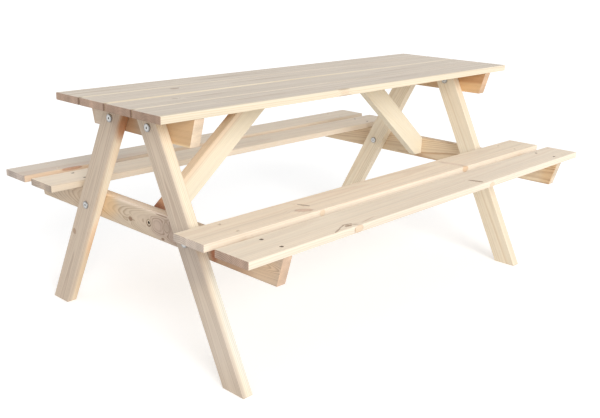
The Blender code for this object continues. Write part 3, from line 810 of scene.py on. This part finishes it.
bench_end_tones = {
    "bench_front_inner_board": {"end": (0.58, 0.49, 0.41), "end_line": (0.43, 0.34, 0.28)},
    "bench_back_inner_board": {"end": (0.50, 0.41, 0.33), "end_line": (0.34, 0.26, 0.20)},
    "bench_back_outer_board": {"end": (0.66, 0.54, 0.44), "end_line": (0.50, 0.40, 0.32)},
}
for name, log in bench_logs.items():
    log = {"ring": 0.0036, "lean": (0.01, 0.01), "bend": (0.9, 0.014), "streaks": 1.3, **log}
    tones = {**bench_tones, **bench_end_tones.get(name, {})}
    planed_pine(name, X_WAY, Z_WAY, log, tones, bench_knots.get(name, ()), bench_light_and_tone_tints.get(name, ()))

pale_screw_steel = zinc_steel("pale_screw_zinc", (0.90, 0.80, 0.66), (0.56, 0.46, 0.35), 0.40)
for end in ("near", "far"):
    for board in ("front_inner", "front_outer", "back_inner", "back_outer"):
        for count in (1, 2):
            low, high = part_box(f"bench_screw_{end}_{board}_{count}")
            middle = (low + high) / 2
            head_middle = Vector((middle.x, middle.y, high.z))
            steel = pale_screw_steel if board in ("front_inner", "back_outer") else screw_steel
            wood_screw(f"seat_wood_screw_{end}_{board}_{count}",
                       f"bench_screw_{end}_{board}_{count}", head_middle, -Z_WAY, steel)


# Braces. Two diagonal bars from the bearers up to the underside of the top, in the palest
# straight pine. A socket screw holds each foot and a wood screw each upper end.

brace_rise = math.radians(38.8)
brace_tones = {
    "sap": (0.86, 0.77, 0.60),
    "sap_line": (0.83, 0.72, 0.53),
    "heart": (0.88, 0.71, 0.52),
    "heart_line": (0.79, 0.60, 0.41),
    "end": (0.66, 0.50, 0.36),
    "end_line": (0.48, 0.34, 0.23),
    "knot_rim": (0.28, 0.15, 0.08),
}
brace_logs = {
    "brace_near": {
        "heart": (0.047, -0.010), "lean": (0.0, 0.0), "bend": (1.3, 0.004),
        "heartwood": 0.026, "seed": 17.9,
    },
    "brace_far": {"heart": (-0.03, -0.08), "heartwood": 0.030, "seed": 19.3},
}
brace_shade_and_heartwood_tints = {
    "brace_near": [
        # The foot and the upper face under the top are darkened and made more orange: painted shade,
        # and heartwood.
        ((-0.497, -0.018, 0.304), (0.024, 0.030, 0.026), (0.74, 0.48, 0.36)),
        ((-0.495, -0.018, 0.294), (0.030, 0.030, 0.011), (0.50, 0.36, 0.30)),
        ((-0.290, -0.008, 0.480), (0.050, 0.022, 0.040), (0.62, 0.42, 0.28)),
    ],
}
socket_steel = zinc_steel("socket_screw_zinc", (0.62, 0.52, 0.40), (0.03, 0.02, 0.01), 0.38)
socket_depth = 0.0030
socket_radius = 0.0025
socket_reach = 0.0034
socket_painted_shade, body_grime = 1.0, 0.15
socket_head_height = 0.0040
body_radius = 0.00325
body_plain_end = 0.0090
body_thread_start = 0.012
body_tip = 0.002
body_tip_break = 0.0016
body_pitch = 0.003
body_thread_depth = 0.0009
body_thread_row = 0.0004
screw_setback = 0.050
top_screw_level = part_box("top_screw_near_1")[0].z
for (name, log), sign in zip(brace_logs.items(), (1, -1)):
    end = name.removeprefix("brace_")
    grain = Vector((sign * math.cos(brace_rise), 0, math.sin(brace_rise)))
    log = {"ring": 0.0036, "lean": (0.02, 0.03), "bend": (1.3, 0.030), **log}
    planed_pine(name, grain, Y_WAY * -sign, log, brace_tones, (), brace_shade_and_heartwood_tints.get(name, ()))

    low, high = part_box(f"brace_screw_{end}")
    middle = (low + high) / 2
    length = high.x - low.x
    rim_radius = (high.z - low.z) / 2
    start = low.x if sign > 0 else high.x
    thread_rows = np.arange(body_thread_start, length - body_tip, body_thread_row)
    profile = [
        (socket_depth, 0.0, ROUND),
        (socket_depth, 0.0012, ROUND),
        (socket_depth, socket_radius, HEXAGON),
        (edge_break, socket_radius, HEXAGON),
        (0.0, 0.0028, HEXAGON),
        (0.0, 0.0036, ROUND),
        (0.0, rim_radius - edge_break, ROUND),
        (edge_break, rim_radius, ROUND),
        (socket_head_height, body_radius, ROUND),
        (body_plain_end, body_radius, ROUND),
        *[(height, body_radius, ROUND) for height in thread_rows],
        (length, body_radius - body_tip_break, ROUND),
        (length, 0.0, ROUND),
    ]
    radius, height = turned_grid(profile)
    thread_end = length - body_tip
    radius = thread(radius, height, body_thread_start, thread_end, body_pitch, body_thread_depth)
    # Painted shade: the socket is painted near black, and the rest of the screw is a little dull.
    in_socket = (radius < socket_reach) & (height <= socket_depth)
    shade_and_grime = np.where(in_socket, socket_painted_shade, body_grime)
    add_turned(f"brace_socket_screw_{end}", f"brace_screw_{end}", socket_steel,
               laid_along(Vector((start, middle.y, middle.z)), X_WAY * sign), radius, height, shade_and_grime)

    brace_low, brace_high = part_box(name)
    thin_end = brace_high.x if sign > 0 else brace_low.x
    head_middle = Vector((thin_end - sign * screw_setback, middle.y, top_screw_level))
    wood_screw(f"brace_top_wood_screw_{end}", None, head_middle, Z_WAY)


# Floor, light and camera. A white floor runs into a white surround, lit by an even sky
# and one broad lamp from the front, and the camera stands at the photograph's angle.

def seen_by_camera(tree):
    """1 for rays from the camera and for reflected ones, and 0 for those that light things."""
    camera_ray, glossy_ray, passing_ray = (
        Signal(tree, None).node("ShaderNodeLightPath", {}, {}, f"Is {kind} Ray")
        for kind in ("Camera", "Glossy", "Transmission")
    )
    reflected = glossy_ray.math("MAXIMUM", glossy_ray, passing_ray)
    return camera_ray.math("MAXIMUM", camera_ray, reflected)


floor_reach = 30.0
floor_white = 0.88
floor_glow_strength = 0.36
floor_mesh = bpy.data.meshes.new("floor")
corners = [(-floor_reach, -floor_reach, 0), (floor_reach, -floor_reach, 0),
           (floor_reach, floor_reach, 0), (-floor_reach, floor_reach, 0)]
floor_mesh.from_pydata(corners, [], [(0, 1, 2, 3)])
floor = bpy.data.objects.new("floor", floor_mesh)
bpy.context.scene.collection.objects.link(floor)
floor_material, floor_shader, _ = new_material("white_floor", 0.0, 1.0)
floor_shader.inputs["Base Color"].default_value = (floor_white, floor_white, floor_white, 1.0)
floor_shader.inputs["Specular IOR Level"].default_value = 0.0
floor_shader.inputs["Emission Strength"].default_value = floor_glow_strength
floor_glow = seen_by_camera(floor_material.node_tree).mix((0.0, 0.0, 0.0), (1.0, 1.0, 1.0))
floor_material.node_tree.links.new(floor_glow.socket, floor_shader.inputs["Emission Color"])
floor_mesh.materials.append(floor_material)

sky_light = 0.62
world = bpy.data.worlds.new("studio")
bpy.context.scene.world = world
world.use_nodes = True
sky = world.node_tree.nodes["Background"]
sky.inputs["Color"].default_value = (1.0, 1.0, 1.0, 1.0)
sky_strength = sky_light + (1.0 - sky_light) * seen_by_camera(world.node_tree)
world.node_tree.links.new(sky_strength.socket, sky.inputs["Strength"])

lamp_strength = 2.04
lamp_softness = math.radians(30)
lamp_way = Vector((-0.40, -0.85, 0.378))
lamp_data = bpy.data.lights.new("front_lamp", "SUN")
lamp_data.energy = lamp_strength
lamp_data.angle = lamp_softness
lamp = bpy.data.objects.new("front_lamp", lamp_data)
lamp.rotation_euler = lamp_way.to_track_quat("Z", "Y").to_euler()
bpy.context.scene.collection.objects.link(lamp)

photo_width = 600
photo_height = 418
focal_pixels = 796.85
middle_right = 269.17
middle_down = 235.30
camera_spot = Vector((-1.4545, -1.2847, 0.7840))
camera_target = Vector((-0.4593, -0.3083, 0.300))
camera_roll = -0.0202
camera_data = bpy.data.cameras.new("camera")
camera_data.sensor_width = 36.0
camera_data.lens = focal_pixels / photo_width * camera_data.sensor_width
camera_data.shift_x = (photo_width / 2 - middle_right) / photo_width
camera_data.shift_y = (middle_down - photo_height / 2) / photo_width
camera = bpy.data.objects.new("camera", camera_data)
bpy.context.scene.collection.objects.link(camera)
forward = (camera_target - camera_spot).normalized()
right = forward.cross(Z_WAY).normalized()
down = forward.cross(right)
rolled_right = math.cos(camera_roll) * right + math.sin(camera_roll) * down
rolled_down = -math.sin(camera_roll) * right + math.cos(camera_roll) * down
turn = Matrix((rolled_right, -rolled_down, -forward)).transposed()
camera.matrix_world = Matrix.Translation(camera_spot) @ turn.to_4x4()
bpy.context.scene.camera = camera
bpy.context.scene.view_settings.view_transform = "Standard"
